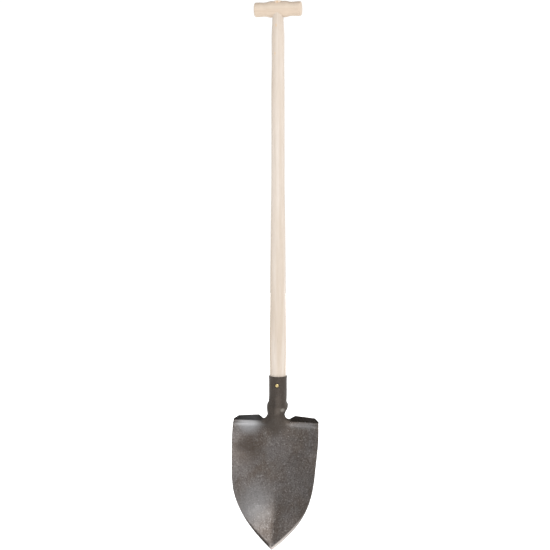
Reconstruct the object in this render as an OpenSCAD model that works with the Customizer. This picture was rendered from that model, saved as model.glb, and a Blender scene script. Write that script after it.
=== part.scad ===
// Long-handled pointed shovel: a pressed steel head with a rolled open-back
// socket and two folded foot treads, on an ash shaft with an ash T-grip.
// Z is up and the point of the blade is at z = 0. The front, the hollow side
// of the blade, faces -Y, and X runs along the grip.

/* [Overall] */
// Height from the point of the blade to the top of the grip
total_h = 1250; // [1100:5:1400]

/* [Blade] */
// Developed width of the blade across the treads
blade_w = 205; // [180:1:230]
// Height of the fold that turns the treads back
fold_z = 288; // [278:1:292]
// Height at which the pointed outline meets the straight sides
shoulder_z = 163; // [140:1:190]
// Thickness of the pressed sheet
sheet = 2; // [1.5:0.1:3]
// How far the point lies in front of the shaft's axis
point_reach = 68; // [50:1:80]
// Width of the ground bevel beside the point, from where it dies away upwards
bevel_w = 3.5; // [2:0.5:8]
// Thickness left at the ground edge
edge_t = 0.6; // [0.3:0.1:1.5]

/* [Treads] */
// Depth of a tread beside the neck
tread_in = 16.5; // [12:0.5:22]
// Depth of a tread at the blade's corner
tread_out = 12; // [8:1:18]
// Slope of the treads above the horizontal
tread_rise = 40; // [30:1:45]
// How far a tread's end is cut back at the blade's corner
tread_cut_out = 11; // [4:1:16]
// How far a tread's end is cut back beside the neck
tread_cut_in = 10.8; // [4:0.2:16]

/* [Socket] */
// Height of the socket's rim
rim_z = 393; // [385:1:420]
// Outside diameter of the socket
socket_d = 42; // [39:0.5:43]
// Width of the open seam at the back of the socket
seam_w = 6.4; // [3:0.1:12]
// Height of the fixing screw
screw_z = 373; // [360:1:376]
// Turn of the screw about the shaft, to the right of the front
screw_turn = 6; // [-10:1:10]

/* [Shaft] */
// Diameter of the straight length that a clip or rack holds
clip_d = 30; // [28:0.2:33]
// Lower end of the straight length
clip_z0 = 850; // [800:5:900]
// Length of the straight length
clip_l = 200; // [100:5:220]
// Largest diameter of the swell above the socket
swell_d = 39.4; // [36:0.2:42]

/* [Grip] */
// Length of the T-grip
grip_l = 108; // [100:1:140]
// Height of the grip's section at the middle
grip_h = 36.6; // [32:0.2:42]
// Depth of the grip's section at the middle
grip_d = 29; // [28:0.2:38]
// Diameter of the round tenon that goes through the grip
tenon_d = 20; // [16:0.5:22]

/* [Hidden] */
$fn = 64;

// The shaft stands behind the middle of the whole object's depth
shaft_y = (point_reach - socket_d / 2) / 2;

// ---- Curves through a few knots ----

// Slope between knot i and the next
function rise(k, i) = (k[i + 1][1] - k[i][1]) / (k[i + 1][0] - k[i][0]);

// Slope of the curve at knot i, level where the knots turn back
function knot_slope(k, i) =
    i == 0 ? rise(k, 0)
    : i == len(k) - 1 ? rise(k, i - 1)
    : rise(k, i - 1) * rise(k, i) <= 0 ? 0
    : 2 * rise(k, i - 1) * rise(k, i) / (rise(k, i - 1) + rise(k, i));

// Index of the span of knots that holds x
function span_of(k, x, i = 0) =
    i >= len(k) - 2 || x < k[i + 1][0] ? i : span_of(k, x, i + 1);

// Smooth curve through the knots [[x, y], ...], never past them
function through(k, x) =
    let (
        i = span_of(k, x),
        h = k[i + 1][0] - k[i][0],
        t = min(max((x - k[i][0]) / h, 0), 1)
    )
    (2 * t ^ 3 - 3 * t ^ 2 + 1) * k[i][1]
    + (t ^ 3 - 2 * t ^ 2 + t) * h * knot_slope(k, i)
    + (3 * t ^ 2 - 2 * t ^ 3) * k[i + 1][1]
    + (t ^ 3 - t ^ 2) * h * knot_slope(k, i + 1);

// Soft step from 0 at a to 1 at b
function ease(a, b, x) = let (t = min(max((x - a) / (b - a), 0), 1)) t * t * (3 - 2 * t);

// ---- The sheet of the head ----
// Each level z has one section: a curve bent from the sheet, followed from its
// middle by the length s. Heights of the neck are measured from the fold.

tube_r = (socket_d - sheet) / 2;
flare_r = tube_r + 0.6;
neck_half = 37;
web_h = 8;
neck_z = fold_z + 18;
ear_z = fold_z + 36;
tube_z = fold_z + 56;

// Forward position of the section's middle
middle_knots = [
    [0, -point_reach], [50, -47], [100, -31.5], [125, -28], [160, -26], [215, -25.5],
    [255, -30], [fold_z, -34.5], [neck_z, -34.5], [neck_z + 14, -30.5], [neck_z + 26, -25],
    [tube_z, -tube_r - 0.6], [tube_z + 6, -tube_r], [rim_z - 7, -tube_r], [rim_z, -flare_r]
];
// Backward bend at the middle, 1 / radius: the frog, the neck and the tube
bend_knots = [
    [190, 0], [240, 0.010], [fold_z - 10, 0.034], [fold_z + web_h, 0.046], [neck_z, 0.049],
    [ear_z - 4, 0.0425], [ear_z + 3, 0.0425], [tube_z - 10, 0.0495], [tube_z - 4, 1 / tube_r],
    [rim_z - 7, 1 / tube_r], [rim_z, 1 / flare_r]
];
// How quickly that bend dies away to the sides, 1 / length
fade_knots = [
    [0, 0.053], [fold_z - 7, 0.059], [fold_z + 5, 0.050], [fold_z + 14, 0.025], [neck_z + 2, 0]
];
// Forward bend that dishes the blade, 1 / radius
dish_knots = [
    [0, 1 / 170], [120, 1 / 195], [200, 1 / 240], [262, 1 / 680], [fold_z + 4, 1 / 2000], [neck_z, 0]
];
// Half of the developed width from the fold to the rim: the web beside the
// treads, a round fillet, the neck, the ears and the tube
width_knots = [
    [fold_z, neck_half], [fold_z + 4.5, neck_half], [fold_z + web_h, neck_half + 1.4],
    [fold_z + web_h + 0.6, 33.8], [fold_z + web_h + 2, 30.2], [fold_z + web_h + 5, 27.7],
    [neck_z, 26.5], [neck_z + 6, 28.5], [ear_z - 5, 37], [ear_z + 2, 45],
    [tube_z - 8, 55], [tube_z, PI * tube_r - seam_w / 2], [rim_z, PI * tube_r - seam_w / 2]
];
crease_angle = 7.5;
crease_w = 7;

// [middle, bend, fade, dish, crease] of the section at level z
function section_at(z) = [
    through(middle_knots, z),
    through(bend_knots, z),
    through(fade_knots, z),
    through(dish_knots, z),
    crease_angle * (1 - ease(110, 230, z))
];

// Angle of the section at the length s, backward positive
function lean(s, f) =
    (s * f[1] * exp(-(s * f[2]) ^ 2 / 2) - s * f[3]) * 180 / PI
    - f[4] * s / sqrt(s ^ 2 + crease_w ^ 2);

STEPS = 12;
PARTS = [for (q = [0.5 : STEPS - 0.5]) q / STEPS];
ONES = [for (q = PARTS) 1 / STEPS];

// A point of the sheet's middle surface
function on_sheet(s, z) =
    let (f = section_at(z))
    [
        s * ([for (q = PARTS) cos(lean(s * q, f))] * ONES),
        f[0] + s * ([for (q = PARTS) sin(lean(s * q, f))] * ONES),
        z
    ];

// Level unit vector that faces forward there
function facing(s, z) = let (a = lean(s, section_at(z))) [sin(a), -cos(a), 0];

// ---- The grid that the sheet is drawn on ----
// Columns run outwards from the middle, through the neck's width, over the slit
// beside it and along a tread. Rows run up the blade, then up the neck or over
// a tread.

NECK_COLS = 10;
TREAD_COLS = 11;
COLS = NECK_COLS + 1 + TREAD_COLS;
BLADE_ROWS = 26;
NECK_ROWS = 28;
TREAD_ROWS = 9;
BEND_ROWS = 3;
ROWS = BLADE_ROWS + NECK_ROWS;
slit_w = 0.12;
slit_s = neck_half + slit_w;
bend_r = 4;
sharp_z = 105;

// Height of neck row t, from 0 to 1, above the fold: closest over the fillet
row_knots = [
    [0, 0], [0.11, web_h], [0.15, web_h + 0.6], [0.36, 18], [0.68, 48], [0.88, rim_z - fold_z - 12],
    [1, rim_z - fold_z]
];
// Part of a tread's depth over which its ends stay square
square_in = 0.45;
square_out = 0.12;
// How far a tread's inner end is tucked in behind the neck
tuck = 1.8;

// Developed distance of column k from the middle, below the fold
function column_s(k) =
    k <= NECK_COLS ? neck_half * k / NECK_COLS
    : slit_s + (blade_w / 2 - slit_s) * (k - NECK_COLS - 1) / TREAD_COLS;

// Height of the pointed outline at the length s, a parabola on each side
function outline_z(s) = shoulder_z * (1 - sqrt(max(1 - 2 * s / blade_w, 0)));

// How much of the full bevel there is at that height of the outline
function ground_share(low) = 1 - ease(20, sharp_z, low);

// Rise of a band of the bevel's width, measured square to the outline
function band_rise(s) =
    (0.6 + (bevel_w - 0.6) * ground_share(outline_z(s)))
    * sqrt(1 + min(shoulder_z / blade_w / sqrt(max(1 - 2 * s / blade_w, 0.02)), 3) ^ 2);

// [point, forward direction, thickness cut off the front] on the blade
function blade_at(row, side, k) =
    let (
        s = column_s(k),
        low = outline_z(s),
        band = low + band_rise(s),
        z = row == 0 ? low : band + (fold_z - band) * (row - 1) / (BLADE_ROWS - 1),
        ground = row == 0 ? (sheet - edge_t) * ground_share(low) : 0
    )
    [on_sheet(side * s, z), facing(side * s, z), ground];

function neck_at(row, side, k) =
    let (
        z = fold_z + through(row_knots, row / NECK_ROWS),
        s = side * through(width_knots, z) * k / NECK_COLS
    )
    [on_sheet(s, z), facing(s, z), 0];

// A part of the way up a tread, counted from where its end starts to slant
function slant(far, square) = max(far - square, 0) / (1 - square);

// A tread goes up over the bend, then back along a slope, and narrows
function tread_at(row, side, k) =
    let (
        t = (k - NECK_COLS - 1) / TREAD_COLS,
        far = max(row - BEND_ROWS, 0) / (TREAD_ROWS - BEND_ROWS),
        turn = (90 - tread_rise) * min(row / BEND_ROWS, 1),
        s0 = column_s(k),
        s = s0 + (tread_cut_in * slant(far, square_in) - tuck * ease(0.05, 0.4, far)) * (1 - t)
            - tread_cut_out * t * slant(far, square_out),
        run = far * (tread_in * (1 - t) + tread_out * t),
        back = -facing(side * s, fold_z),
        up = bend_r * sin(turn) + run * cos(turn),
        away = bend_r * (1 - cos(turn)) + run * sin(turn)
    )
    [
        on_sheet(side * s, fold_z) + away * back + [0, 0, up],
        [0, 0, sin(turn)] - cos(turn) * back,
        0
    ];

function grid_at(row, col) =
    let (side = sign(col), k = abs(col))
    row <= BLADE_ROWS ? blade_at(row, side, k)
    : k <= NECK_COLS ? neck_at(row - BLADE_ROWS, side, k)
    : tread_at(min(row - BLADE_ROWS, TREAD_ROWS), side, k);

// Whether the sheet fills the cell above and beyond the grid point
function filled(row, col) =
    let (k = col >= 0 ? col : -col - 1)
    row < 0 || row >= ROWS || k >= COLS ? false
    : row < BLADE_ROWS ? true
    : k < NECK_COLS ? true
    : k > NECK_COLS && row < BLADE_ROWS + TREAD_ROWS;

function grid_index(row, col) = row * (2 * COLS + 1) + col + COLS;
function halves(q) = [[q[0], q[1], q[2]], [q[0], q[2], q[3]]];

module sheet_metal() {
    grid = [for (row = [0 : ROWS]) for (col = [-COLS : COLS]) grid_at(row, col)];
    count = len(grid);
    front = [for (g = grid) g[0] + (sheet / 2 - g[2]) * g[1]];
    back = [for (g = grid) g[0] - sheet / 2 * g[1]];
    cells = [for (row = [0 : ROWS - 1]) for (col = [-COLS : COLS - 1]) if (filled(row, col)) [row, col]];
    quads = [
        for (cell = cells)
            let (
                row = cell[0],
                col = cell[1],
                a = grid_index(row, col),
                b = a + 1,
                c = grid_index(row + 1, col) + 1,
                d = c - 1
            )
            each [
                [a, d, c, b],
                [a + count, b + count, c + count, d + count],
                if (!filled(row - 1, col)) [a, b, b + count, a + count],
                if (!filled(row, col + 1)) [b, c, c + count, b + count],
                if (!filled(row + 1, col)) [c, d, d + count, c + count],
                if (!filled(row, col - 1)) [d, a, a + count, d + count]
            ]
    ];
    polyhedron(points = concat(front, back), faces = [for (q = quads) each halves(q)]);
}

// ---- Sub-parts ----

screw_y = -socket_d / 2;
screw_head_r = 3.9;
screw_shank_r = 2;
screw_l = 22;
// Depth of the head's edge under the socket's face, and the cone's taper
head_sink = 0.35;
head_taper = (screw_head_r - screw_shank_r) / (sheet - head_sink);

module along_back() { rotate([-90, 0, 0]) children(); }

// Pressed, hardened head: blade, treads, neck and rolled socket in one sheet
module blade_head() {
    color([0.33, 0.30, 0.28])
    translate([0, shaft_y, 0])
    difference() {
        sheet_metal();
        rotate([0, 0, screw_turn])
            translate([0, screw_y - 0.5, screw_z])
                along_back()
                    cylinder(
                        h = sheet + 1,
                        r1 = screw_head_r + (head_sink + 0.5) * head_taper,
                        r2 = screw_shank_r - 0.5 * head_taper
                    );
    }
}

grip_z = total_h - grip_h / 2 - 0.8;
bore_r = socket_d / 2 - sheet - 0.3;
tip_z = tube_z - 20;
tenon_r = tenon_d / 2;
top_r = 12.8;

// Radius of the shaft from the socket to the shoulder under the grip
shaft_knots = [
    [tube_z + 4, bore_r], [rim_z - 14, bore_r], [rim_z, bore_r - 0.1], [rim_z + 30, 19.1],
    [rim_z + 64, swell_d / 2], [rim_z + 162, 18.3], [rim_z + 260, 17.5], [rim_z + 360, 16.3], [rim_z + 420, 15.5],
    [clip_z0, clip_d / 2]
];
neck_knots = [
    [clip_z0 + clip_l, clip_d / 2], [clip_z0 + clip_l + 65, 14.4], [grip_z - 62, 14.6],
    [grip_z - 32, 13.2], [grip_z - 16, top_r], [grip_z, top_r]
];
LATHE_STEPS = 26;

// Points [radius, z] along a list of knots
function turned(k, n) =
    let (z0 = k[0][0], z1 = k[len(k) - 1][0])
    [for (i = [0 : n]) let (z = z0 + (z1 - z0) * i / n) [through(k, z), z]];

// Tenon with a slightly domed end
module tenon() {
    rotate_extrude()
        polygon([
            [0, grip_z - 40], [tenon_r, grip_z - 40], [tenon_r, total_h - 2.5],
            [tenon_r - 1, total_h - 1.2], [tenon_r - 4, total_h - 0.3], [0, total_h]
        ]);
}

wedge_t = 3.2;
wedge_l = 26;

// Wedge seen from the front, thin end down
module wedge_shape() {
    translate([0, tenon_r + 1, 0])
        rotate([90, 0, 0])
            linear_extrude(tenon_d + 2)
                polygon([
                    [-wedge_t / 2, total_h + 1], [-0.3, total_h - wedge_l],
                    [0.3, total_h - wedge_l], [wedge_t / 2, total_h + 1]
                ]);
}

module screw_solid() {
    rotate([0, 0, screw_turn])
        translate([0, screw_y, screw_z])
            along_back()
                rotate_extrude()
                    polygon([
                        [0, -0.6], [1.5, -0.5], [2.8, -0.2], [screw_head_r, head_sink],
                        [screw_shank_r, sheet], [screw_shank_r, screw_l - 5], [0, screw_l]
                    ]);
}

// Ash shaft: taper in the socket, swell above it, saddle and tenon on top
module shaft() {
    color([0.91, 0.84, 0.77])
    translate([0, shaft_y, 0])
    difference() {
        union() {
            difference() {
                rotate_extrude()
                    polygon(concat(
                        [[0, tip_z], [bore_r - 4.5, tip_z]],
                        turned(shaft_knots, LATHE_STEPS),
                        turned(neck_knots, LATHE_STEPS / 2),
                        [[0, grip_z]]
                    ));
                saddle();
            }
            tenon();
        }
        wedge_shape();
        screw_solid();
    }
}

// ---- The grip ----

// The section is the same over the boss that the shaft meets
boss_half = 18;
grip_round = 3;
GRIP_SIDES = 40;
GRIP_RINGS = 11;
ROUND_RINGS = 3;

// How much lower and shallower half of the section is, along the grip
less_high = [[boss_half, 0], [grip_l * 0.29, 2.6], [grip_l * 0.43, 2], [grip_l / 2, 2.2]];
less_deep = [[boss_half, 0], [grip_l * 0.29, 1.3], [grip_l * 0.43, 0.5], [grip_l / 2, 0.8]];

// Outline of the section, y and z about the grip's axis
function grip_section(high, deep) =
    [for (q = [0 : GRIP_SIDES - 1]) let (a = 360 * q / GRIP_SIDES) [deep * sin(a), high * cos(a)]];

// [distance from the middle, inset] of ring i: evenly along, then over the end
function grip_ring(i) =
    let (
        body = grip_l / 2 - grip_round,
        turn = 90 * max(i - GRIP_RINGS, 0) / ROUND_RINGS
    )
    [
        boss_half + (body - boss_half) * min(i / GRIP_RINGS, 1) + grip_round * sin(turn),
        grip_round * (1 - cos(turn))
    ];

module grip_solid() {
    last = GRIP_RINGS + ROUND_RINGS;
    order = [for (i = [last : -1 : 0]) [-1, i], for (i = [0 : last]) [1, i]];
    points = [
        for (o = order)
            let (
                r = grip_ring(o[1]),
                high = grip_h / 2 - through(less_high, r[0]) - r[1],
                deep = grip_d / 2 - through(less_deep, r[0]) - r[1]
            )
            for (p = grip_section(high, deep)) [o[0] * r[0], p[0], grip_z + p[1]]
    ];
    rings = len(order);
    sides = [
        for (i = [0 : rings - 2])
            for (q = [0 : GRIP_SIDES - 1])
                let (
                    a = i * GRIP_SIDES + q,
                    b = i * GRIP_SIDES + (q + 1) % GRIP_SIDES,
                    loop = [b, a, a + GRIP_SIDES, b + GRIP_SIDES]
                )
                each order[i][1] + order[i + 1][1] == 0 ? [loop] : halves(loop)
    ];
    ends = [
        [for (q = [0 : GRIP_SIDES - 1]) q],
        [for (q = [GRIP_SIDES - 1 : -1 : 0]) (rings - 1) * GRIP_SIDES + q]
    ];
    polyhedron(points = points, faces = concat(sides, ends));
}

// The boss as a plain bar, which cuts the saddle in the shaft
module saddle() {
    translate([-boss_half, 0, grip_z])
        rotate([90, 0, 90])
            linear_extrude(2 * boss_half)
                polygon(grip_section(grip_h / 2, grip_d / 2));
}

// Ash T-grip with a through mortise
module t_grip() {
    color([0.87, 0.79, 0.70])
    translate([0, shaft_y, 0])
    difference() {
        grip_solid();
        translate([0, 0, grip_z - grip_h])
            cylinder(h = 2 * grip_h, r = tenon_r);
    }
}

// Hardwood wedge that spreads the tenon
module tenon_wedge() {
    color([0.72, 0.60, 0.46])
    translate([0, shaft_y, 0])
    intersection() {
        tenon();
        wedge_shape();
    }
}

// Brass wood screw through the front of the socket
module socket_screw() {
    color([0.80, 0.68, 0.36])
    translate([0, shaft_y, 0])
    difference() {
        screw_solid();
        rotate([0, 0, screw_turn])
            translate([-screw_head_r - 1, screw_y - 1, screw_z - 0.4])
                cube([2 * screw_head_r + 2, 1.3, 0.8]);
    }
}

blade_head();
shaft();
t_grip();
tenon_wedge();
socket_screw();
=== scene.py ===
"""Looks of a long-handled pointed shovel: a pressed steel head on an ash shaft with an ash T-grip.

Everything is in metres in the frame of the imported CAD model, apart from the head's and the shaft's sections,
which are in millimetres. +Z is up the shaft, -Y the front and +X along the grip.
"""

import math

import bmesh
import bpy
import numpy as np
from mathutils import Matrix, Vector, noise

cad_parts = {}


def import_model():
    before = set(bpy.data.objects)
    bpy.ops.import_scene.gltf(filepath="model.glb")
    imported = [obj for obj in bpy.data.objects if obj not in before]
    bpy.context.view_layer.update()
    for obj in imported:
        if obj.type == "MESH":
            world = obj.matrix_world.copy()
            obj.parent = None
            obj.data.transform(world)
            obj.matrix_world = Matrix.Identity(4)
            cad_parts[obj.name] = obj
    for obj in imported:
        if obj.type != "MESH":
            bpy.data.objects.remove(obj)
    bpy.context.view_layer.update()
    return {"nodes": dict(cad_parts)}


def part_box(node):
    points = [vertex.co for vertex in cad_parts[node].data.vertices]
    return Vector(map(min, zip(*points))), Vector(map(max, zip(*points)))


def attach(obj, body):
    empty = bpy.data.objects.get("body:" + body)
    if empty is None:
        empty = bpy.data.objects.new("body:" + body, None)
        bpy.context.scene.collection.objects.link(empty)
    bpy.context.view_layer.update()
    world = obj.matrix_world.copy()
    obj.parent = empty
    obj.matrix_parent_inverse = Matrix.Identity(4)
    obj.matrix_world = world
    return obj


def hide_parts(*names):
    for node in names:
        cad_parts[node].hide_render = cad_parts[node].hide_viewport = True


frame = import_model()

# ---- Sizes read from the frame ----

HEAD_LOW, HEAD_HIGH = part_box("blade_head")
SHAFT_LOW, SHAFT_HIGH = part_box("shaft")
GRIP_LOW, GRIP_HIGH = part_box("t_grip")
AXIS_Y = (SHAFT_LOW.y + SHAFT_HIGH.y) / 2
RIM_Z = HEAD_HIGH.z
TOP_Z = SHAFT_HIGH.z
GRIP_Z = (GRIP_LOW.z + GRIP_HIGH.z) / 2
GRIP_HALF_L = (GRIP_HIGH.x - GRIP_LOW.x) / 2
GRIP_HALF_H = (GRIP_HIGH.z - GRIP_LOW.z) / 2
GRIP_HALF_D = (GRIP_HIGH.y - GRIP_LOW.y) / 2
MM = 0.001

# ---- Shared maths ----


def through(knots, x):
    """Smooth curve through the knots [(x, y), ...], which never swings past them."""
    k = np.array(knots, float)
    kx, ky = k[:, 0], k[:, 1]
    rise = np.diff(ky) / np.diff(kx)
    slope = np.empty(len(kx))
    slope[0], slope[-1] = rise[0], rise[-1]
    for i in range(1, len(kx) - 1):
        a, b = rise[i - 1], rise[i]
        slope[i] = 2 * a * b / (a + b) if a * b > 0 else 0.0
    x = np.clip(np.asarray(x, float), kx[0], kx[-1])
    i = np.clip(np.searchsorted(kx, x, side="right") - 1, 0, len(kx) - 2)
    h = kx[i + 1] - kx[i]
    t = (x - kx[i]) / h
    return (
        (2 * t**3 - 3 * t**2 + 1) * ky[i]
        + (t**3 - 2 * t**2 + t) * h * slope[i]
        + (3 * t**2 - 2 * t**3) * ky[i + 1]
        + (t**3 - t**2) * h * slope[i + 1]
    )


def ease(a, b, x):
    """Soft step from 0 at a to 1 at b."""
    t = np.clip((np.asarray(x, float) - a) / (b - a), 0, 1)
    return t * t * (3 - 2 * t)


def swell(points, size, seed):
    """Smooth noise between about -1 and 1, one value a point."""
    shift = Vector((seed * 7.3, seed * 3.1, seed * 5.7))
    flat = points.reshape(-1, 3) / size
    return np.array([noise.noise(Vector(p) + shift) for p in flat]).reshape(points.shape[:-1])


# ---- The head's sheet, in millimetres about the shaft's axis ----
# Each level z has one section, bent from the sheet and followed from its middle by the length s.

SHEET = 2.0
BLADE_HALF = 102.5
SHOULDER_Z = 163.0
POINT_REACH = 68.0
FOLD_Z = 288.0
RIM = RIM_Z / MM
TUBE_R = 20.0
FLARE_R = TUBE_R + 0.6
WEB_H = 8.0
NECK_Z = FOLD_Z + 18
EAR_Z = FOLD_Z + 36
TUBE_Z = FOLD_Z + 56
SEAM_HALF = 3.2
NECK_HALF = 37.0
SLIT_S = NECK_HALF + 0.12
CREASE = math.radians(7.5)
CREASE_W = 7.0
CREASE_FADE = (110, 230)
BEVEL_W = 3.5
EDGE_W = 0.6
EDGE_T = 0.6
SHARP_FADE = (20, 105.0)
# Depth, size and seed of the waves in the sheet
WAVES = ((0.45, 62.0, 1), (0.16, 24.0, 2))
WAVE_FADE_LOW = (0, 60)
WAVE_FADE_HIGH = (FOLD_Z - 40, FOLD_Z)
TREAD_TURN = math.radians(50)
TREAD_IN, TREAD_OUT = 16.5, 12.0
CUT_IN, CUT_OUT = 10.8, 11.0
SQUARE_IN, SQUARE_OUT = 0.45, 0.12
TUCK = 1.8
SLIP = 0.5
BEND_R = 4.0

# How far back the middle of the section stands from the shaft's axis, at each level
MIDDLE = [
    (0, -POINT_REACH), (50, -47), (100, -31.5), (125, -28), (160, -26), (215, -25.5),
    (255, -30), (FOLD_Z, -34.5), (NECK_Z, -34.5), (NECK_Z + 14, -30.5), (NECK_Z + 26, -25),
    (TUBE_Z, -TUBE_R - 0.6), (TUBE_Z + 6, -TUBE_R), (RIM - 7, -TUBE_R), (RIM, -FLARE_R),
]
# How sharply the section bends backward into the neck and the socket, how soon that fades away from the
# middle, and how sharply the blade is dished forward, all per millimetre
BEND = [
    (190, 0), (240, 0.010), (FOLD_Z - 10, 0.034), (FOLD_Z + WEB_H, 0.046), (NECK_Z, 0.049),
    (EAR_Z - 4, 0.0425), (EAR_Z + 3, 0.0425), (TUBE_Z - 10, 0.0495), (TUBE_Z - 4, 1 / TUBE_R),
    (RIM - 7, 1 / TUBE_R), (RIM, 1 / FLARE_R),
]
FADE = [(0, 0.053), (FOLD_Z - 7, 0.059), (FOLD_Z + 5, 0.050), (FOLD_Z + 14, 0.025), (NECK_Z + 2, 0)]
DISH = [(0, 1 / 170), (120, 1 / 195), (200, 1 / 240), (262, 1 / 680), (FOLD_Z + 4, 1 / 2000), (NECK_Z, 0)]
# Length along the section from its middle to the edge, above the fold
WIDTH = [
    (FOLD_Z, NECK_HALF), (FOLD_Z + 4.5, NECK_HALF), (FOLD_Z + WEB_H, NECK_HALF + 1.4),
    (FOLD_Z + WEB_H + 0.6, 33.8), (FOLD_Z + WEB_H + 2, 30.2), (FOLD_Z + WEB_H + 5, 27.7),
    (NECK_Z, 26.5), (NECK_Z + 6, 28.5), (EAR_Z - 5, 37), (EAR_Z + 2, 45), (TUBE_Z - 8, 55),
    (TUBE_Z, math.pi * TUBE_R - SEAM_HALF), (RIM, math.pi * TUBE_R - SEAM_HALF),
]

# Height of the neck's row t, from 0 to 1, above the fold: the rows are closest over the fillet
NECK_ROW = [
    (0, 0), (0.11, WEB_H), (0.15, WEB_H + 0.6), (0.36, 18), (0.68, 48), (0.88, RIM - FOLD_Z - 12),
    (1, RIM - FOLD_Z),
]

# Columns and rows of the head's grid, half of it across
NECK_COLS, TREAD_COLS = 18, 26
COLS = NECK_COLS + 1 + TREAD_COLS
BLADE_ROWS, NECK_ROWS = 70, 64
TREAD_ROWS, BEND_ROWS = 17, 8
ROWS = BLADE_ROWS + NECK_ROWS
BEND_STEPS = 16
RIM_BEVEL = 0.35 * MM
HEAD_SMOOTH = 35


def lean(s, z):
    """Angle of the section at the length s, backward positive."""
    bend = s * through(BEND, z) * np.exp(-((s * through(FADE, z)) ** 2) / 2)
    crease = CREASE * (1 - ease(*CREASE_FADE, z)) * s / np.sqrt(s**2 + CREASE_W**2)
    return bend - s * through(DISH, z) - crease


def on_sheet(s, z):
    """Points of the sheet's middle surface."""
    s, z = np.broadcast_arrays(np.asarray(s, float), np.asarray(z, float))
    steps = (np.arange(BEND_STEPS) + 0.5) / BEND_STEPS
    angle = lean(s[..., None] * steps, z[..., None])
    x = s * np.cos(angle).mean(-1)
    y = s * np.sin(angle).mean(-1) + through(MIDDLE, z)
    return np.stack([x, y, z], -1)


def facing(s, z):
    """Level unit vectors that face forward there."""
    angle = lean(s, z)
    return np.stack([np.sin(angle), -np.cos(angle), np.zeros_like(angle)], -1)


def column_s(k):
    """Length along the section of column k: the neck's columns, then the tread's beyond the slit."""
    neck = NECK_HALF * k / NECK_COLS
    tread = SLIT_S + (BLADE_HALF - SLIT_S) * (k - NECK_COLS - 1) / TREAD_COLS
    return np.where(k <= NECK_COLS, neck, tread)


def blade_grid(side, k):
    """Rows up the blade, the first along its pointed outline and the next above the bevel."""
    s = column_s(k)
    left = np.maximum(1 - s / BLADE_HALF, 0)
    low = SHOULDER_Z * (1 - np.sqrt(left))
    steep = SHOULDER_Z / (2 * BLADE_HALF) / np.sqrt(np.maximum(left, 0.02))
    share = 1 - ease(*SHARP_FADE, low)
    band = low + (EDGE_W + (BEVEL_W - EDGE_W) * share) * np.sqrt(1 + np.minimum(steep, 3) ** 2)
    row = np.arange(1, BLADE_ROWS + 1)[:, None]
    z = np.vstack([low, band + (FOLD_Z - band) * (row - 1) / (BLADE_ROWS - 1)])
    s = np.broadcast_to(side * s, z.shape)
    ground = np.zeros(z.shape)
    ground[0] = (SHEET - EDGE_T) * share
    return on_sheet(s, z), facing(s, z), ground


def neck_grid(side, k):
    """Rows up the neck and the socket, as wide as the sheet is there."""
    row = np.arange(1, NECK_ROWS + 1)[:, None]
    z = FOLD_Z + through(NECK_ROW, row / NECK_ROWS) + 0 * k
    s = side * through(WIDTH, z) * k / NECK_COLS
    return on_sheet(s, z), facing(s, z)


def tread_grid(side, k):
    """Rows over the bend, then back along the slope."""
    row = np.arange(1, TREAD_ROWS + 1)[:, None]
    t = (k - NECK_COLS - 1) / TREAD_COLS
    far = np.maximum(row - BEND_ROWS, 0) / (TREAD_ROWS - BEND_ROWS)
    turn = TREAD_TURN * np.minimum(row / BEND_ROWS, 1) + 0 * t
    slant_in = np.maximum(far - SQUARE_IN, 0) / (1 - SQUARE_IN)
    slant_out = np.maximum(far - SQUARE_OUT, 0) / (1 - SQUARE_OUT)
    # The skin's end also slips behind the neck's over the bend, so that no light shows through the slit
    slip = SLIP * ease(0.3, 0.9, row / BEND_ROWS)
    inner = CUT_IN * slant_in - TUCK * ease(0.05, 0.4, far) - slip
    s = side * (column_s(k) + inner * (1 - t) - CUT_OUT * t * slant_out)
    run = far * (TREAD_IN * (1 - t) + TREAD_OUT * t)
    up = BEND_R * np.sin(turn) + run * np.cos(turn)
    away = BEND_R * (1 - np.cos(turn)) + run * np.sin(turn)
    back = -facing(s, np.full(s.shape, FOLD_Z))
    lift = np.zeros(back.shape)
    lift[..., 2] = 1
    point = on_sheet(s, FOLD_Z) + away[..., None] * back + up[..., None] * lift
    return point, np.sin(turn)[..., None] * lift - np.cos(turn)[..., None] * back


def head_grid():
    """Points, forward directions and thickness ground off the front, one a grid point."""
    shape = (ROWS + 1, 2 * COLS + 1)
    point, face, ground = np.zeros(shape + (3,)), np.zeros(shape + (3,)), np.zeros(shape)
    face[..., 1] = -1
    col = np.arange(-COLS, COLS + 1)
    side, k = np.sign(col), np.abs(col)
    point[: BLADE_ROWS + 1], face[: BLADE_ROWS + 1], ground[: BLADE_ROWS + 1] = blade_grid(side, k)
    neck = k <= NECK_COLS
    above = slice(BLADE_ROWS + 1, ROWS + 1)
    point[above, neck], face[above, neck] = neck_grid(side[neck], k[neck])
    tread = slice(BLADE_ROWS + 1, BLADE_ROWS + TREAD_ROWS + 1)
    point[tread, ~neck], face[tread, ~neck] = tread_grid(side[~neck], k[~neck])
    return point, face, ground


def filled(row, col):
    """Whether the sheet fills the cell above and beyond the grid point."""
    k = col if col >= 0 else -col - 1
    if row < 0 or row >= ROWS or k >= COLS:
        return False
    return row < BLADE_ROWS or k < NECK_COLS or (k > NECK_COLS and row < BLADE_ROWS + TREAD_ROWS)


def pressed(point, face):
    """The waves that pressing and hardening leave in the sheet, none at the point, the neck and the rim."""
    soft = (1 - ease(*WAVE_FADE_HIGH, point[..., 2])) * ease(*WAVE_FADE_LOW, point[..., 2])
    wave = sum(depth * swell(point, size, seed) for depth, size, seed in WAVES)
    return point + (soft * wave)[..., None] * face


def new_object(name, mesh):
    piece = bpy.data.objects.new(name, mesh)
    bpy.context.scene.collection.objects.link(piece)
    return piece


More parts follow.
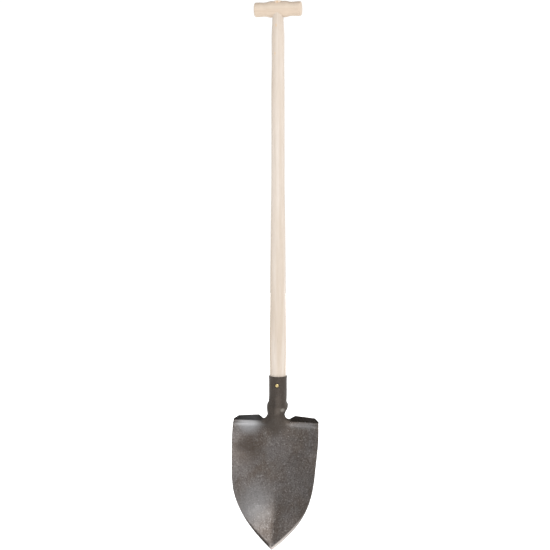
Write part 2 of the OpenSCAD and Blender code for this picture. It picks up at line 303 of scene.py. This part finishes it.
def mesh_from(name, points, faces):
    mesh = bpy.data.meshes.new(name)
    mesh.from_pydata([tuple(p) for p in points], [], faces)
    mesh.validate()
    mesh.update()
    return mesh


def smooth(mesh, angle):
    mesh.shade_smooth()
    mesh.set_sharp_from_angle(angle=math.radians(angle))


def make_head():
    """The sheet between its two faces, with an attribute for the ground edge's wear and for a painted
    highlight on the treads' tops.
    """
    point, face, ground = head_grid()
    point = pressed(point, face)
    front = point + (SHEET / 2 - ground)[..., None] * face
    back = point - SHEET / 2 * face
    wide = 2 * COLS + 1
    used, points, wear_and_sheen = {}, [], []
    both = [front.reshape(-1, 3), back.reshape(-1, 3)]
    row_of = np.arange(point.shape[0])[:, None] + 0 * ground
    bright = (row_of <= 1) * (ground[0][None, :] / (SHEET - EDGE_T))
    # Painted highlight along the treads' top edges, where they catch the light
    bright[BLADE_ROWS + TREAD_ROWS, np.abs(np.arange(-COLS, COLS + 1)) > NECK_COLS] = 1
    bright = bright.reshape(-1)

    def vertex(layer, row, col):
        key = (layer, row * wide + col + COLS)
        if key not in used:
            used[key] = len(points)
            x, y, z = both[layer][key[1]]
            points.append((x * MM, y * MM + AXIS_Y, z * MM))
            wear_and_sheen.append(bright[key[1]] if layer == 0 else 0.0)
        return used[key]

    faces = []
    for row in range(ROWS):
        for col in range(-COLS, COLS):
            if not filled(row, col):
                continue
            ring = [(row, col), (row, col + 1), (row + 1, col + 1), (row + 1, col)]
            beyond = [(row - 1, col), (row, col + 1), (row + 1, col), (row, col - 1)]
            near = [vertex(0, *r) for r in ring]
            far = [vertex(1, *r) for r in ring]
            faces.append(near)
            faces.append(far[::-1])
            for i in range(4):
                if not filled(*beyond[i]):
                    j = (i + 1) % 4
                    faces.append([near[j], near[i], far[i], far[j]])
    mesh = mesh_from("blade_head_skin", points, faces)
    mesh.attributes.new("wear_and_sheen", "FLOAT", "POINT").data.foreach_set("value", wear_and_sheen)
    smooth(mesh, HEAD_SMOOTH)
    head = new_object("blade_head_skin", mesh)
    bevel = head.modifiers.new("rim", "BEVEL")
    bevel.width = RIM_BEVEL
    bevel.segments = 2
    bevel.limit_method = "ANGLE"
    bevel.angle_limit = math.radians(50)
    bevel.use_clamp_overlap = True
    return head


# ---- The shaft ----

BOSS_HALF = 18 * MM
TOP_R = 12.8 * MM
TENON_R = 10 * MM
SHAFT_SIDES = 96
SOCKET_RINGS, FREE_RINGS = 30, 190
SHAFT_WAVE = 0.22 * MM

# The shaft's radius at each level, in millimetres
SHAFT = [
    (SHAFT_LOW.z / MM, 14.2), (SHAFT_LOW.z / MM + 24, 18.7), (RIM - 14, 18.7), (RIM, 18.6), (RIM + 30, 19.1),
    (RIM + 64, 19.7), (RIM + 162, 18.3), (RIM + 260, 17.5), (RIM + 360, 16.3), (RIM + 420, 15.5),
    (850, 15), (1050, 15), (1115, 14.4), (GRIP_Z / MM - 62, 14.6), (GRIP_Z / MM - 32, 13.2),
    (GRIP_Z / MM - 16, 12.8), (GRIP_Z / MM, 12.8),
]


def saddle_z(y):
    """Height of the grip's underside over the boss, y from the shaft's axis."""
    return GRIP_Z - GRIP_HALF_H * np.sqrt(np.maximum(1 - (y / GRIP_HALF_D) ** 2, 0))


def lofted(name, rings):
    """A closed skin over rings of the same number of points."""
    sides = len(rings[0])
    points = np.concatenate(rings)
    faces = []
    for i in range(len(rings) - 1):
        for q in range(sides):
            r = (q + 1) % sides
            faces.append([i * sides + q, i * sides + r, (i + 1) * sides + r, (i + 1) * sides + q])
    top = (len(rings) - 1) * sides
    faces.append(list(range(sides))[::-1])
    faces.append([top + q for q in range(sides)])
    return mesh_from(name, points, faces)


def circle(radius, z):
    """Level ring of points about the shaft's axis."""
    turn = np.arange(SHAFT_SIDES) * 2 * math.pi / SHAFT_SIDES
    x, y = radius * np.cos(turn), radius * np.sin(turn)
    return np.stack([x, y + AXIS_Y, z + 0 * x], -1)


def make_shaft():
    """Turned shaft, a little out of true as a spokeshaved one is, whose top ring follows the saddle."""
    hidden = np.linspace(SHAFT_LOW.z, RIM_Z, SOCKET_RINGS)
    levels = np.concatenate([hidden, np.linspace(RIM_Z, GRIP_Z - 26 * MM, FREE_RINGS)[1:]])
    radii = through(SHAFT, levels / MM) * MM
    rings = []
    for z, radius in zip(levels, radii):
        ring = circle(radius, z)
        free = float(ease(RIM_Z, RIM_Z + 0.03, z) * (1 - ease(GRIP_Z - 0.06, GRIP_Z - 0.03, z)))
        wave = swell(ring * np.array([1, 1, 0.22]), 0.02, 5)
        out = (ring - np.array([0, AXIS_Y, z])) / radius
        rings.append(ring + (SHAFT_WAVE * free * wave)[:, None] * out)
    for t in (0.35, 0.7, 1.0):
        ring = circle(TOP_R, 0)
        low = levels[-1]
        ring[:, 2] = low + (saddle_z(ring[:, 1] - AXIS_Y) - low) * t
        rings.append(ring)
    for radius in (TENON_R, TENON_R * 0.6):
        ring = circle(radius, 0)
        ring[:, 2] = saddle_z(ring[:, 1] - AXIS_Y)
        rings.append(ring)
    mesh = lofted("shaft_skin", rings)
    smooth(mesh, 40)
    return new_object("shaft_skin", mesh)


# ---- The grip ----

GRIP_SIDES = 96
GRIP_ROUND = 3 * MM

# How much less high and deep the grip is than at its middle, along its length
LESS_HIGH = [
    (BOSS_HALF, 0), (GRIP_HALF_L * 0.58, 2.6 * MM), (GRIP_HALF_L * 0.86, 2 * MM), (GRIP_HALF_L, 2.2 * MM),
]
LESS_DEEP = [
    (BOSS_HALF, 0), (GRIP_HALF_L * 0.58, 1.3 * MM), (GRIP_HALF_L * 0.86, 0.5 * MM), (GRIP_HALF_L, 0.8 * MM),
]


def grip_ring(x, inset):
    """Oval section of the grip at x, drawn in by the inset."""
    turn = np.arange(GRIP_SIDES) * 2 * math.pi / GRIP_SIDES
    deep = GRIP_HALF_D - through(LESS_DEEP, abs(x)) - inset
    high = GRIP_HALF_H - through(LESS_HIGH, abs(x)) - inset
    y, z = deep * np.cos(turn), high * np.sin(turn)
    return np.stack([x + 0 * y, y + AXIS_Y, z + GRIP_Z], -1)


def make_grip():
    """The grip as one loft from end to end, rounded at the rims of its two ends."""
    body = GRIP_HALF_L - GRIP_ROUND
    turns = np.radians(np.arange(10, 91, 10))
    half = [(x, 0.0) for x in np.linspace(0, body, 40)]
    half += [(body + GRIP_ROUND * math.sin(t), GRIP_ROUND * (1 - math.cos(t))) for t in turns]
    # The end grain is very slightly domed and stays within the grip's length
    half += [(GRIP_HALF_L - 0.02 * MM, GRIP_ROUND + 4 * MM), (GRIP_HALF_L, GRIP_ROUND + 9 * MM)]
    line = [(-x, inset) for x, inset in half[:0:-1]] + half
    mesh = lofted("t_grip_skin", [grip_ring(x, inset) for x, inset in line])
    smooth(mesh, 50)
    return new_object("t_grip_skin", mesh)


# ---- The tenon's end, its wedge and the screw ----

WEDGE_HALF = 1.5 * MM
WEDGE_LOW = TOP_Z - 26 * MM
SLAB_COLUMNS, SLAB_ROWS = 28, 8
DOME = 0.35 * MM
RIM_DROP = 1.3 * MM


def tenon_top(radius, x_from, x_to, top_lift, low):
    """A slab of the domed tenon's end between two planes across the grip."""
    columns = SLAB_COLUMNS
    points, faces = [], []
    xs = np.linspace(x_from, x_to, SLAB_ROWS)
    for layer in ("top", "low"):
        for x in xs:
            reach = math.sqrt(max(radius**2 - x**2, 0))
            for y in np.linspace(-reach, reach, columns):
                away = math.hypot(x, y) / radius
                dome = TOP_Z - DOME * away**2 - RIM_DROP * ease(0.86, 1.0, away) + top_lift
                points.append((x, y + AXIS_Y, dome if layer == "top" else low))
    count = len(xs) * columns
    for i in range(len(xs) - 1):
        for j in range(columns - 1):
            a, b = i * columns + j, (i + 1) * columns + j
            faces.append([a, b, b + 1, a + 1])
            faces.append([a + count, a + 1 + count, b + 1 + count, b + count])
    for i in range(len(xs) - 1):
        for j, flip in ((0, False), (columns - 1, True)):
            a, b = i * columns + j, (i + 1) * columns + j
            quad = [a, a + count, b + count, b]
            faces.append(quad[::-1] if flip else quad)
    for j in range(columns - 1):
        a, b = j, (len(xs) - 1) * columns + j
        faces.append([a, a + 1, a + 1 + count, a + count])
        faces.append([b, b + count, b + 1 + count, b + 1])
    return points, faces


def joined(name, *shells):
    """One mesh of several shells, each a list of points and a list of faces."""
    points, faces = [], []
    for shell_points, shell_faces in shells:
        start = len(points)
        points += shell_points
        faces += [[start + v for v in face] for face in shell_faces]
    return mesh_from(name, points, faces)


def make_tenon_end():
    """The two halves of the tenon's end grain, one on either side of the wedge."""
    low = GRIP_Z + GRIP_HALF_H - 9 * MM
    gap = WEDGE_HALF + 0.04 * MM
    reach = TENON_R - 0.02 * MM
    left = tenon_top(TENON_R, -reach, -gap, 0, low)
    right = tenon_top(TENON_R, gap, reach, 0, low)
    mesh = joined("tenon_end", left, right)
    smooth(mesh, 40)
    return new_object("tenon_end", mesh)


def make_wedge():
    slab = tenon_top(TENON_R - 0.1 * MM, -WEDGE_HALF, WEDGE_HALF, -0.05 * MM, WEDGE_LOW)
    mesh = joined("wedge_skin", slab)
    smooth(mesh, 40)
    return new_object("wedge_skin", mesh)


SCREW_TURN = math.radians(6)


def cut_screw_hole(head):
    """Countersinks the socket's front for the screw, as the CAD head is."""
    screw_low, screw_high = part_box("socket_screw")
    screw_z = (screw_low.z + screw_high.z) / 2
    head_r, shank_r, sink = 3.9 * MM, 2 * MM, 0.35 * MM
    face_r = (TUBE_R + SHEET / 2) * MM
    taper = (head_r - shank_r) / (SHEET * MM - sink)
    rings = []
    for depth in (-0.5 * MM, SHEET * MM + 0.5 * MM):
        ring = circle(head_r + (sink - depth) * taper, 0)[::-1]
        across, back, up = ring[:, 0], depth - face_r, ring[:, 1] - AXIS_Y + screw_z
        rings.append(np.stack([
            across * math.cos(SCREW_TURN) - back * math.sin(SCREW_TURN),
            across * math.sin(SCREW_TURN) + back * math.cos(SCREW_TURN) + AXIS_Y,
            up,
        ], -1))
    cutter = new_object("hole_cutter", lofted("hole_cutter", rings))
    fix_normals(cutter.data)
    cut = head.modifiers.new("hole", "BOOLEAN")
    cut.operation = "DIFFERENCE"
    cut.solver = "EXACT"
    cut.object = cutter
    with_hole = bpy.data.meshes.new_from_object(head.evaluated_get(bpy.context.evaluated_depsgraph_get()))
    head.modifiers.clear()
    head.data = with_hole
    with_hole.name = "blade_head_skin"
    smooth(with_hole, HEAD_SMOOTH)
    bpy.data.objects.remove(cutter)


def fix_normals(mesh):
    work = bmesh.new()
    work.from_mesh(mesh)
    bmesh.ops.recalc_face_normals(work, faces=work.faces)
    work.to_mesh(mesh)
    work.free()


# ---- Materials ----


def new_material(name):
    """An empty material with its shader wired to its output."""
    material = bpy.data.materials.new(name)
    material.use_nodes = True
    tree = material.node_tree
    tree.nodes.clear()
    shader = tree.nodes.new("ShaderNodeBsdfPrincipled")
    output = tree.nodes.new("ShaderNodeOutputMaterial")
    tree.links.new(shader.outputs["BSDF"], output.inputs["Surface"])
    return material, tree, shader


def feed(tree, socket, value):
    """Links a socket to another, or sets it to a value."""
    if isinstance(value, bpy.types.NodeSocket):
        tree.links.new(value, socket)
    else:
        socket.default_value = value


def place(tree, scale, shift=(0, 0, 0)):
    """Object coordinates, which are the row frame's metres, stretched by scale."""
    coords = tree.nodes.new("ShaderNodeTexCoord")
    mapping = tree.nodes.new("ShaderNodeMapping")
    tree.links.new(coords.outputs["Object"], mapping.inputs["Vector"])
    mapping.inputs["Scale"].default_value = scale
    mapping.inputs["Location"].default_value = shift
    return mapping.outputs["Vector"]


def cloud(tree, vector, scale, detail=3.0, rough=0.5, distortion=0.0):
    """Noise with about that many lumps to the metre."""
    node = tree.nodes.new("ShaderNodeTexNoise")
    tree.links.new(vector, node.inputs["Vector"])
    node.inputs["Scale"].default_value = scale
    node.inputs["Detail"].default_value = detail
    node.inputs["Roughness"].default_value = rough
    node.inputs["Distortion"].default_value = distortion
    return node.outputs["Fac"]


def spread(tree, value, low, high, to_low=0.0, to_high=1.0):
    """Soft step from to_low, where the value is low or less, to to_high, where it is high or more."""
    node = tree.nodes.new("ShaderNodeMapRange")
    node.interpolation_type = "SMOOTHSTEP"
    feed(tree, node.inputs["Value"], value)
    for name, number in (("From Min", low), ("From Max", high), ("To Min", to_low), ("To Max", to_high)):
        node.inputs[name].default_value = number
    return node.outputs["Result"]


def worked_out(tree, operation, a, b):
    """Result of one operation on two numbers or sockets."""
    node = tree.nodes.new("ShaderNodeMath")
    node.operation = operation
    feed(tree, node.inputs[0], a)
    feed(tree, node.inputs[1], b)
    return node.outputs["Value"]


def blend_colour(tree, factor, a, b):
    """Colour a where the factor is 0 and b where it is 1."""
    node = tree.nodes.new("ShaderNodeMix")
    node.data_type = "RGBA"
    feed(tree, node.inputs["Factor"], factor)
    feed(tree, node.inputs["A"], a)
    feed(tree, node.inputs["B"], b)
    return node.outputs["Result"]


def bumped(tree, shader, height, distance, under=None):
    """Roughens the shader's surface by a height, on top of the normal under it."""
    node = tree.nodes.new("ShaderNodeBump")
    node.inputs["Distance"].default_value = distance
    node.inputs["Strength"].default_value = 1.0
    tree.links.new(height, node.inputs["Height"])
    if under is not None:
        tree.links.new(under, node.inputs["Normal"])
    tree.links.new(node.outputs["Normal"], shader.inputs["Normal"])
    return node.outputs["Normal"]


def spot(tree, centre, inner, outer, amount, stretch=(1, 1, 1)):
    """Soft mask about a point, of that amount inside the inner radius and none outside the outer one."""
    away = tree.nodes.new("ShaderNodeVectorMath")
    away.operation = "DISTANCE"
    tree.links.new(place(tree, stretch), away.inputs[0])
    away.inputs[1].default_value = tuple(c * s for c, s in zip(centre, stretch))
    return spread(tree, away.outputs["Value"], inner, outer, amount, 0.0)


# Patches over the steel's scale, some painted highlights and some painted shade: centre, inner and outer
# radius, amount, stretch, colour. A stretch of 0 in Y takes a patch through to the back of the sheet.
LEVEL = (1, 0, 1)
PATCHES = (
    # Painted highlights: a lighter corner on the left where the blade curves toward the light, and a bright
    # band under each fold where its rounding catches the light
    ((-0.063, 0, 0.287), 0.010, 0.036, 0.65, LEVEL, (0.250, 0.252, 0.258, 1)),
    ((-0.064, 0, 0.2825), 0.001, 0.008, 0.32, (0.15, 0, 1), (0.36, 0.363, 0.37, 1)),
    ((0.066, 0, 0.283), 0.002, 0.010, 0.3, (0.2, 0, 1), (0.250, 0.252, 0.258, 1)),
    # A painted highlight near the point, where the blade reflects the key light, painted shade above it, where
    # it reflects the darker room, and a painted highlight beside the bulge under the socket
    ((-0.050, 0, 0.095), 0.015, 0.070, 0.40, LEVEL, (0.175, 0.176, 0.180, 1)),
    ((-0.066, 0, 0.222), 0.012, 0.056, 0.6, LEVEL, (0.042, 0.032, 0.025, 1)),
    ((0.0165, 0, 0.3175), 0.001, 0.0060, 0.5, LEVEL, (0.30, 0.28, 0.25, 1)),
)
SCALE_BROWN, SCALE_GREY = (0.081, 0.067, 0.058, 1), (0.095, 0.086, 0.083, 1)
SCALE_PATCH = (0.122, 0.113, 0.107, 1)
FLECK_DARK, FLECK_BRIGHT = (0.036, 0.029, 0.025, 1), (0.265, 0.250, 0.243, 1)
# Brown scale of the neck and socket, darker than the scale alone as painted shade
NECK_SCALE_AND_SHADE = (0.052, 0.043, 0.036, 1)
# Painted shade round the screw
SCREW_SHADE = (0.028, 0.024, 0.022, 1)
# Dark left and pale right ground edge; the pale colour is also a painted highlight on the treads' tops
DARK_EDGE, PALE_EDGE_AND_SHEEN = (0.040, 0.034, 0.030, 1), (0.46, 0.425, 0.40, 1)


def steel_material():
    """Hardened sheet with its brown-grey scale, speckled, and a ground cutting edge."""
    material, tree, shader = new_material("hardened_steel")
    even = place(tree, (1, 1, 1))
    drawn = place(tree, (1, 1, 0.4))
    blotch = cloud(tree, even, 16, 3.0, 0.5, 0.4)
    patch = cloud(tree, drawn, 120, 4.0, 0.6, 0.3)
    fleck = cloud(tree, even, 290, 3.0, 0.7)
    grit = cloud(tree, even, 1500, 2.0, 0.6)
    scale = blend_colour(tree, spread(tree, blotch, 0.36, 0.64), SCALE_BROWN, SCALE_GREY)
    scale = blend_colour(tree, spread(tree, patch, 0.42, 0.70, 0.0, 0.5), scale, SCALE_PATCH)
    scale = blend_colour(tree, spread(tree, fleck, 0.32, 0.50, 0.62, 0.0), scale, FLECK_DARK)
    scale = blend_colour(tree, spread(tree, fleck, 0.54, 0.72, 0.0, 0.55), scale, FLECK_BRIGHT)
    # The neck and the socket, and a fan below them, keep a smoother and browner scale, darkened further as
    # painted shade
    coords = tree.nodes.new("ShaderNodeSeparateXYZ")
    tree.links.new(even, coords.inputs["Vector"])
    aside = worked_out(tree, "ABSOLUTE", coords.outputs["X"], 0.0)
    rise = worked_out(tree, "SUBTRACT", coords.outputs["Z"], worked_out(tree, "MULTIPLY", aside, 0.7))
    ragged = worked_out(tree, "ADD", rise, worked_out(tree, "MULTIPLY", blotch, 0.012))
    neck = spread(tree, ragged, 0.250, 0.278)
    scale = blend_colour(tree, worked_out(tree, "MULTIPLY", neck, 0.8), scale, NECK_SCALE_AND_SHADE)
    for centre, inner, outer, amount, stretch, colour in PATCHES:
        scale = blend_colour(tree, spot(tree, centre, inner, outer, amount, stretch), scale, colour)
    # Painted shade: a dark ring round the screw, where its countersink lies in shadow
    screw_low, screw_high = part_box("socket_screw")
    middle = ((screw_low.x + screw_high.x) / 2, screw_low.y, (screw_low.z + screw_high.z) / 2)
    scale = blend_colour(tree, spot(tree, middle, 0.0042, 0.0075, 0.85), scale, SCREW_SHADE)
    worn_and_sheen = tree.nodes.new("ShaderNodeAttribute")
    worn_and_sheen.attribute_name = "wear_and_sheen"
    # The right ground edge is pale and the left one dark; the treads' tops take the pale colour as a painted
    # highlight where their edges catch the light
    right = spread(tree, coords.outputs["X"], -0.010, 0.002)
    high = spread(tree, coords.outputs["Z"], 0.20, 0.21)
    ground = blend_colour(tree, worked_out(tree, "MAXIMUM", right, high), DARK_EDGE, PALE_EDGE_AND_SHEEN)
    feed(tree, shader.inputs["Base Color"], blend_colour(tree, worn_and_sheen.outputs["Fac"], scale, ground))
    coarse, fine = spread(tree, patch, 0.35, 0.70, 0.37, 0.30), spread(tree, grit, 0.3, 0.7, 0.0, 0.08)
    rough = worked_out(tree, "ADD", coarse, fine)
    rough = worked_out(tree, "ADD", rough, worked_out(tree, "MULTIPLY", neck, 0.12))
    rough = worked_out(tree, "ADD", rough, worked_out(tree, "MULTIPLY", worn_and_sheen.outputs["Fac"], 0.15))
    feed(tree, shader.inputs["Roughness"], rough)
    shader.inputs["Metallic"].default_value = 1.0
    under = bumped(tree, shader, fleck, 0.07 * MM)
    bumped(tree, shader, patch, 0.15 * MM, under=under)
    return material


SHAFT_PALE, SHAFT_DARK = (0.488, 0.432, 0.381, 1), (0.421, 0.355, 0.292, 1)
GRIP_PALE, GRIP_DARK = (0.486, 0.408, 0.331, 1), (0.414, 0.326, 0.249, 1)
WEDGE_PALE, WEDGE_DARK = (0.60, 0.45, 0.31, 1), (0.48, 0.34, 0.22, 1)
KNOT = (0.50, 0.345, 0.21, 1)
SHAFT_KNOTS = (
    ((-0.002, AXIS_Y - 0.0135, GRIP_Z - 0.037), 0.0035),
    ((-0.0045, AXIS_Y - 0.0140, GRIP_Z - 0.100), 0.0030),
)


def wood_material(name, along, pale, dark, seed, knots=()):
    """Ash: growth rings and open pores drawn out along one axis, and knots [(centre, radius), ...]."""
    material, tree, shader = new_material(name)

    def drawn(share):
        stretch = tuple(share if i == along else 1.0 for i in range(3))
        return place(tree, stretch, (0.013 * seed, 0.021 * seed, 0.17 * seed))

    grain = drawn(0.035)
    streak = cloud(tree, grain, 210, 4.0, 0.6, 0.4)
    band = cloud(tree, grain, 60, 3.0, 0.5, 1.0)
    pore = cloud(tree, drawn(0.02), 1300, 2.0, 0.5)
    wide = cloud(tree, drawn(0.3), 24, 2.0, 0.5)
    deep = tuple(c * 0.62 for c in dark[:3]) + (1,)
    colour = blend_colour(tree, spread(tree, band, 0.35, 0.68), pale, dark)
    colour = blend_colour(tree, spread(tree, streak, 0.48, 0.75, 0.0, 0.55), colour, dark)
    colour = blend_colour(tree, spread(tree, pore, 0.60, 0.74, 0.0, 0.45), colour, deep)
    colour = blend_colour(tree, spread(tree, wide, 0.40, 0.70, 0.0, 0.35), colour, dark)
    for centre, radius in knots:
        knot = spot(tree, centre, radius * 0.35, radius, 0.55, (1, 1, 0.7))
        colour = blend_colour(tree, knot, colour, KNOT)
    feed(tree, shader.inputs["Base Color"], colour)
    feed(tree, shader.inputs["Roughness"], spread(tree, streak, 0.3, 0.7, 0.52, 0.66))
    shader.inputs["Specular IOR Level"].default_value = 0.35
    under = bumped(tree, shader, streak, 0.06 * MM)
    bumped(tree, shader, pore, -0.05 * MM, under=under)
    return material


def brass_material():
    """Brass, tarnished in small patches."""
    material, tree, shader = new_material("brass")
    even = place(tree, (1, 1, 1))
    tarnish = cloud(tree, even, 600, 4.0, 0.6)
    clean, dull = (0.52, 0.42, 0.20, 1), (0.30, 0.23, 0.11, 1)
    colour = blend_colour(tree, spread(tree, tarnish, 0.35, 0.65), clean, dull)
    feed(tree, shader.inputs["Base Color"], colour)
    feed(tree, shader.inputs["Roughness"], spread(tree, tarnish, 0.3, 0.7, 0.24, 0.42))
    shader.inputs["Metallic"].default_value = 1.0
    bumped(tree, shader, tarnish, 0.03 * MM)
    return material


def end_grain_material():
    """Ash cut across: rings and pores about an axis off to one side."""
    material, tree, shader = new_material("ash_end_grain")
    wave = tree.nodes.new("ShaderNodeTexWave")
    wave.wave_type = "RINGS"
    wave.rings_direction = "Z"
    tree.links.new(place(tree, (1, 1, 1), (-0.03, -0.01, 0)), wave.inputs["Vector"])
    wave.inputs["Scale"].default_value = 160
    wave.inputs["Distortion"].default_value = 1.2
    wave.inputs["Detail"].default_value = 2.0
    pore = cloud(tree, place(tree, (1, 1, 0.05)), 2400, 2.0, 0.5)
    early, late, hole = (0.60, 0.50, 0.41, 1), (0.49, 0.385, 0.29, 1), (0.27, 0.17, 0.10, 1)
    colour = blend_colour(tree, wave.outputs["Fac"], early, late)
    colour = blend_colour(tree, spread(tree, pore, 0.55, 0.72, 0.0, 0.5), colour, hole)
    feed(tree, shader.inputs["Base Color"], colour)
    feed(tree, shader.inputs["Roughness"], spread(tree, pore, 0.3, 0.7, 0.58, 0.7))
    bumped(tree, shader, pore, -0.05 * MM)
    return material


# ---- The object ----


def dress(piece, slot, material, *nodes):
    """Gives a new piece its material, its body and the CAD nodes that it stands for; the slot is not used."""
    piece.data.materials.clear()
    piece.data.materials.append(material)
    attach(piece, "root")
    if nodes:
        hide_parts(*nodes)


def shovel():
    """Every visible piece of the shovel, each in its material."""
    head = make_head()
    cut_screw_hole(head)
    dress(head, "steel", steel_material(), "blade_head")
    shaft_wood = wood_material("ash_shaft", 2, SHAFT_PALE, SHAFT_DARK, 1, SHAFT_KNOTS)
    dress(make_shaft(), "ash", shaft_wood, "shaft")
    dress(make_grip(), "ash", wood_material("ash_grip", 0, GRIP_PALE, GRIP_DARK, 2), "t_grip")
    dress(make_tenon_end(), "ash", end_grain_material())
    wedge_wood = wood_material("wedge_wood", 2, WEDGE_PALE, WEDGE_DARK, 3)
    dress(make_wedge(), "wedge_wood", wedge_wood, "tenon_wedge")
    screw = frame["nodes"]["socket_screw"]
    screw.data.materials.clear()
    screw.data.materials.append(brass_material())


# ---- Stage, light and camera ----

FLOOR_HALF = 6.0
FLOOR_GAP = 0.2 * MM


def floor():
    """Pale floor that glows, less in front, so that it stays as white far off as it is under the lights."""
    corners = [(x * FLOOR_HALF, y * FLOOR_HALF, 0) for x, y in ((-1, -1), (1, -1), (1, 1), (-1, 1))]
    piece = new_object("floor", mesh_from("floor", corners, [[0, 1, 2, 3]]))
    piece.location.z = HEAD_LOW.z - FLOOR_GAP
    material, tree, shader = new_material("pale_floor")
    dust = cloud(tree, place(tree, (1, 1, 1)), 3, 2.0)
    pale = blend_colour(tree, dust, (0.90, 0.90, 0.90, 1), (0.93, 0.93, 0.93, 1))
    feed(tree, shader.inputs["Base Color"], pale)
    shader.inputs["Roughness"].default_value = 0.9
    away = tree.nodes.new("ShaderNodeVectorMath")
    away.operation = "LENGTH"
    tree.links.new(place(tree, (1, 1, 0)), away.inputs[0])
    coords = tree.nodes.new("ShaderNodeSeparateXYZ")
    tree.links.new(place(tree, (1, 1, 1)), coords.inputs["Vector"])
    front = spread(tree, coords.outputs["Y"], -1.4, -0.25, 0.45, 1.0)
    glow = worked_out(tree, "MULTIPLY", spread(tree, away.outputs["Value"], 0.2, 1.6, 0.72, 1.05), front)
    shader.inputs["Emission Color"].default_value = (1, 1, 1, 1)
    feed(tree, shader.inputs["Emission Strength"], glow)
    piece.data.materials.append(material)


LIGHT_DISTANCE = 3.2


def softbox(name, azimuth, size, watts, height):
    """A rectangular area light, level with the point of the shaft's axis at that height, which it faces."""
    turn = math.radians(azimuth)
    way = Vector((math.sin(turn), -math.cos(turn), 0))
    light = bpy.data.lights.new(name, "AREA")
    light.shape = "RECTANGLE"
    light.size, light.size_y = size
    light.energy = watts
    lamp = bpy.data.objects.new(name, light)
    lamp.visible_camera = False
    bpy.context.scene.collection.objects.link(lamp)
    lamp.location = Vector((0, AXIS_Y, height)) + way * LIGHT_DISTANCE
    lamp.rotation_euler = (-way).to_track_quat("-Z", "Y").to_euler()


def world():
    """A grey room, brighter behind, right and above the horizon, dark overhead, and white to the camera."""
    made = bpy.data.worlds.new("studio")
    bpy.context.scene.world = made
    made.use_nodes = True
    tree = made.node_tree
    tree.nodes.clear()
    coords = tree.nodes.new("ShaderNodeTexCoord")
    axes = tree.nodes.new("ShaderNodeSeparateXYZ")
    tree.links.new(coords.outputs["Generated"], axes.inputs["Vector"])
    behind = spread(tree, axes.outputs["Y"], -0.3, 0.8, 0.60, 0.75)
    right = spread(tree, axes.outputs["X"], -0.5, 0.9, 0.85, 1.7)
    raised = spread(tree, axes.outputs["Z"], 0.02, 0.25, 1.0, 2.0)
    overhead = spread(tree, axes.outputs["Z"], 0.5, 0.85, 1.0, 0.12)
    around = worked_out(tree, "MULTIPLY", behind, right)
    upward = worked_out(tree, "MULTIPLY", raised, overhead)
    strength = worked_out(tree, "MULTIPLY", around, upward)
    light = tree.nodes.new("ShaderNodeBackground")
    tree.links.new(strength, light.inputs["Strength"])
    plain = tree.nodes.new("ShaderNodeBackground")
    plain.inputs["Strength"].default_value = 1.05
    for node in (light, plain):
        node.inputs["Color"].default_value = (1, 1, 1, 1)
    seen = tree.nodes.new("ShaderNodeLightPath")
    mix = tree.nodes.new("ShaderNodeMixShader")
    output = tree.nodes.new("ShaderNodeOutputWorld")
    tree.links.new(seen.outputs["Is Camera Ray"], mix.inputs["Fac"])
    tree.links.new(light.outputs["Background"], mix.inputs[1])
    tree.links.new(plain.outputs["Background"], mix.inputs[2])
    tree.links.new(mix.outputs["Shader"], output.inputs["Surface"])


def camera():
    """Looks from a little to the right of the front, from two thirds of the way up."""
    azimuth, elevation, distance = math.radians(12.4), math.radians(4.6), 2.765
    aim = Vector((-0.0070, AXIS_Y, TOP_Z / 2 + 0.0022))
    way = Vector((
        math.sin(azimuth) * math.cos(elevation),
        -math.cos(azimuth) * math.cos(elevation),
        math.sin(elevation),
    ))
    data = bpy.data.cameras.new("camera")
    data.sensor_width = 36
    data.lens = 78.5
    made = bpy.data.objects.new("camera", data)
    bpy.context.scene.collection.objects.link(made)
    made.location = aim + way * distance
    made.rotation_euler = (-way).to_track_quat("-Z", "Y").to_euler()
    bpy.context.scene.camera = made


def look():
    """Plain display colours."""
    view = bpy.context.scene.view_settings
    view.view_transform = "Standard"
    view.look = "None"
    view.exposure = 0.0
    view.gamma = 1.0


camera()
shovel()
floor()
world()
look()
softbox("key", 14, (2.5, 2.2), 66, 1.88)
softbox("fill", -56, (1.5, 1.1), 12, 1.5)
